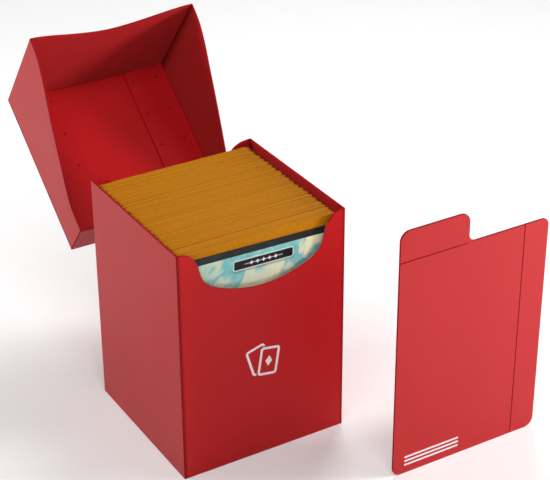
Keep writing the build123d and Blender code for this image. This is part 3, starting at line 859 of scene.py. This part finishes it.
lid_sheet("lid_left", [(-y, z) for y, z in reversed(sc)] + [(-YF, 51.75), (-YF, FZ), (-YB, FZ)],
          folded((-LX, 0, 0), (0, -1, 0), (0, 0, 1), (-1, 0, 0), None, -YF,
                 bow=lambda u, v: side_bow(-u, v)),
          steps(-YB, -YF, 14) + [-YF - PRESS], steps(50, FZ, 8), kind=side_kind, replaces=["lid_left_side"])
lid_sheet("lid_right", [(YF, 51.75)] + sc + [(YB, FZ), (YF, FZ)],
          folded((LX, 0, 0), (0, 1, 0), (0, 0, 1), (1, 0, 0), YF, None,
                 bow=lambda u, v: side_bow(u, v)),
          steps(YF, YB, 14) + [YF + PRESS], steps(50, FZ, 8), kind=side_kind, replaces=["lid_right_side"])
fi = 16.6
fz = LZ - T
lid_sheet("lid_flap_left_sheet", arc(fi + 2, -YB + 0.5 + 2, 2, 180, 270, 4) + [(LXF, -YB), (lu0, -YB), (lu0, -YF), (LXF, -YF)]
          + arc(fi + 2, -YF - 0.4 - 2, 2, 90, 180, 4),
          folded((0, 0, fz), (-1, 0, 0), (0, -1, 0), (0, 0, 1), None, LXF),
          fold_cuts(LXF, 1) + [22, 28], steps(-YB, -YF, 10), kind=ends_seam(lu0), replaces=["lid_flap_left"])
lid_sheet("lid_flap_right_sheet", arc(fi + 2, YF + 0.4 + 2, 2, 180, 270, 4) + [(LXF, YF), (lu0, YF), (lu0, YB), (LXF, YB)]
          + arc(fi + 2, YB - 0.5 - 2, 2, 90, 180, 4),
          folded((0, 0, fz), (1, 0, 0), (0, 1, 0), (0, 0, 1), None, LXF),
          fold_cuts(LXF, 1) + [22, 28], steps(YF, YB, 10), kind=ends_seam(lu0), replaces=["lid_flap_right"])


def lid_corners():
    """The pinched corners where the lid's top, front and side folds meet."""
    n, verts, polys = 6, [], []
    for sx in (-1, 1):
        base = len(verts)
        c = Vector((sx * LXF, LYF + R, LZ - R))
        verts.append(c - Vector((sx, -1, 1)) * 0.25)
        for j in range(n):
            th = math.pi / 2 * j / n
            for i in range(n + 1):
                ph = math.pi / 2 * i / n
                d = Vector((sx * math.cos(th) * math.cos(ph), -math.cos(th) * math.sin(ph), math.sin(th)))
                verts.append(c + d * R)
        verts.append(c + Vector((0, 0, R)))                  # the pole is one vertex
        at_ = lambda j, i: base + 1 + (j * (n + 1) + i if j < n else n * (n + 1))
        for j in range(n):
            for i in range(n):
                f = [at_(j, i), at_(j, i + 1)] + ([at_(j + 1, i + 1), at_(j + 1, i)] if j < n - 1 else [at_(n, 0)])
                polys.append(f if sx < 0 else f[::-1])
        rim = ([at_(0, i) for i in range(n + 1)] + [at_(j, n) for j in range(1, n + 1)]
               + [at_(j, 0) for j in range(n - 1, 0, -1)])
        for k in range(len(rim)):
            f = [base, rim[(k + 1) % len(rim)], rim[k]]
            polys.append(f if sx < 0 else f[::-1])
    mesh = bpy.data.meshes.new("lid_pinched_corners")
    mesh.from_pydata([(LID_OPEN @ p) * MM for p in verts], [], polys)
    mesh.polygons.foreach_set("use_smooth", [True] * len(polys))
    mesh.materials.append(MAT_RED)
    ob = bpy.data.objects.new("lid_pinched_corners", mesh)
    scene.collection.objects.link(ob)
    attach(ob, "lid")


lid_corners()

# ------------------------------------------------------------------ weld spots
def weld_spots(name, places, place, body, mat):
    """Small melted rings where flaps are spot-welded; places are (centre, normal)."""
    prof = [(0.0, 0.02), (0.17, 0.03), (0.28, 0.05), (0.38, 0.09), (0.47, 0.10), (0.58, 0.05), (0.70, 0.0)]
    n = 20
    verts, polys = [], []
    rng = random.Random(7)
    for c, nrm in places:
        c, nrm = Vector(c), Vector(nrm)
        t1 = nrm.orthogonal().normalized()
        t2 = nrm.cross(t1)
        base = len(verts)
        k = rng.uniform(0.8, 1.05)
        ph = rng.uniform(0, 6.28)
        verts.append(c + nrm * prof[0][1])
        for r, h in prof[1:]:
            for i in range(n):
                a_ = 2 * math.pi * i / n
                rr = r * k * (1 + 0.07 * math.sin(2 * a_ + ph) + 0.03 * math.sin(5 * a_ + ph))
                verts.append(c + t1 * rr * math.cos(a_) + t2 * rr * math.sin(a_) + nrm * (h - 0.004))
        for i in range(n):
            polys.append([base, base + 1 + i, base + 1 + (i + 1) % n])
        for j in range(len(prof) - 2):
            for i in range(n):
                p, q = base + 1 + j * n, base + 1 + (j + 1) * n
                polys.append([p + i, q + i, q + (i + 1) % n, p + (i + 1) % n])
        last = base + 1 + (len(prof) - 2) * n
        polys.append([last + i for i in range(n)][::-1])     # closed underneath, inside the sheet
    mesh = bpy.data.meshes.new(name)
    M = place or Matrix.Identity(4)
    mesh.from_pydata([(M @ p) * MM for p in verts], [], polys)
    mesh.polygons.foreach_set("use_smooth", [len(f) < n for f in polys])
    mesh.materials.append(mat)
    ob = bpy.data.objects.new(name, mesh)
    scene.collection.objects.link(ob)
    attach(ob, body)
    return ob


weld_spots("lid_weld_spots", [((sx * x, y, fz - T), (0, 0, -1)) for sx in (-1, 1)
                              for x, y in ((19.6, -30.8), (19.6, -14.6), (19.6, 1.2), (19.6, 17.2),
                                           (30.8, -30.8), (30.8, -14.6), (30.8, 1.2), (30.8, 17.2))],
           LID_OPEN, "lid", MAT_SPOT)
weld_spots("tab_weld_spots", [((sx * x, LYB, z), (0, 1, 0)) for sx in (-1, 1) for x in (10.0, 25.5)
                              for z in (TB + 6.5, TB + 21.5)], None, "box", MAT_SPOT)

# ------------------------------------------------------------------ divider
d_lo, d_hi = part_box("divider_panel")
s_lo, s_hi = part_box("divider_side_strip")
DX, DY = d_lo.x / MM, d_lo.y / MM
DW, DH = s_hi.x / MM - DX, s_hi.z / MM
DT = (d_hi.y - d_lo.y) / MM
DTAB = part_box("divider_tab")[1].z / MM
CX = s_lo.x / MM - DX - 0.02
CZ, TW = 94.90, 30.85
DIV = ((DX, DY, 0), (1, 0, 0), (0, 0, 1), (0, -1, 0))


def at_crease(p, q, axis, c):
    return abs(p[axis] - c) < 0.06 and abs(q[axis] - c) < 0.06


def tab_kind(p, q):
    if at_crease(p, q, 1, CZ):
        return "crease" if (p[0] + q[0]) / 2 < TW else "seam"
    return None


g = 0.02
sheet("divider_main", arc(4, 4, 4, 180, 270) + [(CX - g, 0), (CX - g, DH), (TW + 3, DH), (TW + 3, CZ - g), (0, CZ - g)],
      folded(*DIV), steps(0, CX, 9) + [TW], steps(0, DH, 12), thick=DT,
      kind=lambda p, q: "crease" if at_crease(p, q, 0, CX) else tab_kind(p, q),
      mat=MAT_DIV, body="divider", replaces=["divider_panel"])
sheet("divider_tab_sheet", [(0, CZ + g), (TW + 3, CZ + g), (TW + 3, DH)] + arc(TW + 3, DH + 3, 3, 270, 180)[1:]
      + arc(TW - 4.2, DTAB - 4.2, 4.2, 0, 90) + arc(4.2, DTAB - 4.2, 4.2, 90, 180),
      folded(*DIV), steps(0, TW, 5) + [TW], steps(CZ, DTAB, 3), thick=DT,
      kind=tab_kind, mat=MAT_DIV, body="divider_tab", replaces=["divider_tab"])
sheet("divider_side_sheet", [(CX + g, 0)] + arc(DW - 4, 4, 4, 270, 360) + arc(DW - 3.2, DH - 3.2, 3.2, 0, 90)
      + [(CX + g, DH)], folded(*DIV), [CX + 3.5, CX + 7.5], steps(0, DH, 12), thick=DT,
      kind=lambda p, q: "crease" if at_crease(p, q, 0, CX) else None,
      mat=MAT_DIV, body="divider_side", replaces=["divider_side_strip"])

# ------------------------------------------------------------------ cards
def paint(node_name, mat):
    ob = frame["nodes"][node_name]
    if not ob.material_slots:
        ob.data.materials.append(mat)
    for s in ob.material_slots:
        s.material = mat


for n_, m_ in (("emblem_print", MAT_INK), ("divider_print", MAT_INK), ("hinge_crease_lower", MAT_WEB),
               ("hinge_crease_upper", MAT_WEB), ("front_card", MAT_CARD), ("card_name_plate", MAT_PLATE),
               ("front_card_sleeve_back", MAT_LEAF), ("front_card_sleeve_clear", MAT_FILM)):
    paint(n_, m_)

k_lo, k_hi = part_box("sleeved_deck")
N_SLEEVES = 96


def deck():
    """Sleeved cards on edge: they stand in loose handfuls that have slipped a little
    against each other, with a dark slot between one handful and the next."""
    rng = random.Random(31)
    x0, x1 = k_lo.x / MM, k_hi.x / MM
    y0, y1 = k_lo.y / MM, k_hi.y / MM
    z0, z1 = k_lo.z / MM, k_hi.z / MM
    groups, left = [], N_SLEEVES
    while left > 0:
        g_ = min(left, rng.choice([1, 2, 2, 2, 3]))
        groups.append(g_)
        left -= g_
    slot_w = 0.05
    pitch = (y1 - y0 - slot_w * len(groups)) / N_SLEEVES
    verts, polys, tone_and_slot_shade = [], [], []
    y, slip, hand = y0, 0.0, 0
    for gi, count in enumerate(groups):
        if hand <= 0:                            # a few groups slip sideways together
            slip = (-1 if slip > 0 else 1) * rng.uniform(0.20, 0.42)
            hand = rng.choice([1, 1, 1, 1, 2])
        hand -= 1
        lift = rng.gauss(-0.12, 0.03)
        mid = y + count * pitch / 2
        gap = rng.uniform(0.03, 0.08)            # how far the groups fan apart at their ends
        for _ in range(count):
            yc = y + pitch / 2
            y += pitch
            dx = max(-0.46, min(0.46, slip + rng.gauss(0, 0.06)))
            dz = max(-0.30, min(0.0, lift + rng.gauss(0, 0.02)))
            tilt = rng.gauss(0, 0.02)
            h = pitch * 0.485
            a_, b_ = x0 - 0.22 + dx, x1 - 0.50 + dx
            n_mid = 11
            xs = ([a_, a_ + 0.5, a_ + 1.3] + [a_ + 1.3 + (b_ - a_ - 2.6) * k / (n_mid + 1) for k in range(1, n_mid + 1)]
                  + [b_ - 1.3, b_ - 0.5, b_])
            hs = [0.35, 0.70, 0.94] + [1.0] * n_mid + [0.94, 0.70, 0.35]
            ph = rng.uniform(0, 6.28)
            base = len(verts)
            for x, f in zip(xs, hs):
                fan = min(1.0, max(0.0, (abs(x) - 9.0) / 18.0))
                fan = fan * fan * (3 - 2 * fan)
                pull = (mid - yc) / max(pitch, count * pitch / 2) * gap * fan
                hh = h * f - 0.012 * fan
                zt = min(z1, z1 + dz + tilt * (x / 33.0) + 0.012 * math.sin(x * 0.35 + ph))
                yy = yc + pull + 0.006 * math.sin(x * 0.21 + ph)
                sec = [(-hh, z0), (-hh, zt - 1.3), (-hh * 0.98, zt - 0.06), (-hh * 0.88, zt), (-hh * 0.16, zt - 0.01),
                       (0.0, zt - 0.07), (hh * 0.16, zt - 0.01), (hh * 0.88, zt), (hh * 0.98, zt - 0.06),
                       (hh, zt - 1.3), (hh, z0)]
                for dy, z in sec:
                    verts.append((x, yy + dy, z))
            m = 11
            t = min(0.4, abs(rng.gauss(0, 0.06)))
            for k in range(len(xs) - 1):
                for j in range(m):
                    p_, q_ = base + k * m + j, base + k * m + (j + 1) % m
                    polys.append([p_, q_, q_ + m, p_ + m])
                    # painted shade: sleeve sides darkened strongly where they face the slots, the V between the leaves
                    # a little; t is a random tone per sleeve
                    tone_and_slot_shade.append(t + (0.18 if j in (4, 5) else (0.75 if j in (0, 1, 8, 9) else 0.0)))
            polys.append([base + j for j in range(m)][::-1])
            tone_and_slot_shade.append(t)
            e = base + (len(xs) - 1) * m
            polys.append([e + j for j in range(m)])
            tone_and_slot_shade.append(t)
        y += slot_w
    mesh = bpy.data.meshes.new("deck_sleeves")
    mesh.from_pydata([Vector(p) * MM for p in verts], [], polys)
    mesh.update()
    bm = bmesh.new()
    bm.from_mesh(mesh)
    bmesh.ops.recalc_face_normals(bm, faces=bm.faces)
    bm.to_mesh(mesh)
    bm.free()
    att = mesh.attributes.new("tone_and_slot_shade", "FLOAT", "FACE")
    att.data.foreach_set("value", tone_and_slot_shade)
    mesh.materials.append(MAT_SLEEVE)
    ob = bpy.data.objects.new("deck_sleeves", mesh)
    scene.collection.objects.link(ob)
    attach(ob, "deck")
    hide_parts("sleeved_deck")
    return ob


deck()
# the next card in the deck, seen when the front card is lifted away
MAT_CARD2 = card_mat("printed_card_next", 0.0, 93.6 - 44.0, 5.0)
CARD_OUT = (arc(-31.5 + 3, 5.6 + 3, 3, 180, 270, 4) + arc(31.5 - 3, 5.6 + 3, 3, 270, 360, 4)
            + arc(31.5 - 3, 93.6 - 3, 3, 0, 90, 4) + arc(-31.5 + 3, 93.6 - 3, 3, 90, 180, 4))
B_KEEP, B = B, 0.004
FREE[:] = [(B, 0, 0), (B * .29, B * .29, .5), (0, B, 1), (0, -B, 1), (B * .29, -B * .29, 1.5), (B, -1e-9, 2)]
sheet("deck_next_card", CARD_OUT, folded((0, k_lo.y / MM - 0.022, 0), (1, 0, 0), (0, 0, 1), (0, -1, 0), -99, 99),
      [0], [50], thick=0.02, mat=MAT_CARD2, body="deck")

# ------------------------------------------------------------------ stage
def plane(name, size, mat, z=0.0):
    mesh = bpy.data.meshes.new(name)
    s = size / 2
    mesh.from_pydata([(-s, -s, z), (s, -s, z), (s, s, z), (-s, s, z)], [], [(0, 1, 2, 3)])
    mesh.materials.append(mat)
    ob = bpy.data.objects.new(name, mesh)
    scene.collection.objects.link(ob)
    return ob


m, nt = new_mat("pale_floor")
tc = node(nt, "ShaderNodeTexCoord").outputs["Object"]
f1 = noise(nt, tc, 40, 2, 0.5)
bs = node(nt, "ShaderNodeBsdfPrincipled")
nt.links.new(ramp(nt, f1, [(0.3, (0.85, 0.85, 0.85)), (0.7, (0.87, 0.87, 0.87))]), bs.inputs["Base Color"])
# the sweep of the backdrop glows softly away from the object
sep = node(nt, "ShaderNodeSeparateXYZ")
nt.links.new(tc, sep.inputs[0])
rr = math_node(nt, "SQRT", math_node(nt, "ADD", math_node(nt, "POWER", math_node(nt, "SUBTRACT", sep.outputs["X"], 0.03), 2.0),
                                     math_node(nt, "POWER", sep.outputs["Y"], 2.0)))
glow = ramp(nt, math_node(nt, "MULTIPLY", rr, 1.0), [(0.05, (0.07, 0.07, 0.07)), (0.15, (0.12, 0.12, 0.12)), (0.26, (0.24, 0.24, 0.24)), (0.60, (0.55, 0.55, 0.55))])
nt.links.new(glow, bs.inputs["Emission Color"])
bs.inputs["Emission Strength"].default_value = 1.0
bs.inputs["Roughness"].default_value = 0.85
bs.inputs["Specular IOR Level"].default_value = 0.1
nt.links.new(bs.outputs[0], node(nt, "ShaderNodeOutputMaterial").inputs["Surface"])
plane("floor", 8.0, m)


def area(name, pos, target, size, watts, size_y=None, color=(1, 1, 1)):
    d = bpy.data.lights.new(name, "AREA")
    d.energy = watts
    d.color = color
    d.shape = "RECTANGLE"
    d.size = size
    d.size_y = size_y or size
    ob = bpy.data.objects.new(name, d)
    scene.collection.objects.link(ob)
    ob.location = pos
    ob.rotation_euler = (Vector(target) - Vector(pos)).to_track_quat("-Z", "Y").to_euler()
    return ob


# soft panels round a 0.14 m wide object; the low right one makes the front brighten to the right
AIM = (0.02, -0.01, 0.06)
LIGHTS = {
    "right_low": ((0.40, -0.25, 0.15), AIM, 0.12, 1.62),
    "back_left": ((-0.35, 0.30, 0.35), AIM, 0.15, 1.12),
    "top_right": ((0.25, 0.25, 0.50), AIM, 0.20, 1.40),
    "front_top": ((-0.10, -0.35, 0.50), AIM, 0.20, 0.85),
    "front_right": ((0.25, -0.25, 0.55), AIM, 0.20, 0.50),
    "front_left": ((-0.30, -0.25, 0.60), AIM, 0.20, 1.05),
}
for nm, (p, t, s, wt) in LIGHTS.items():
    area(nm, p, t, s, wt)
world = bpy.data.worlds.new("world")
scene.world = world
world.use_nodes = True
WORLD = 0.03
world.node_tree.nodes["Background"].inputs[0].default_value = (1, 1, 1, 1)
world.node_tree.nodes["Background"].inputs[1].default_value = WORLD
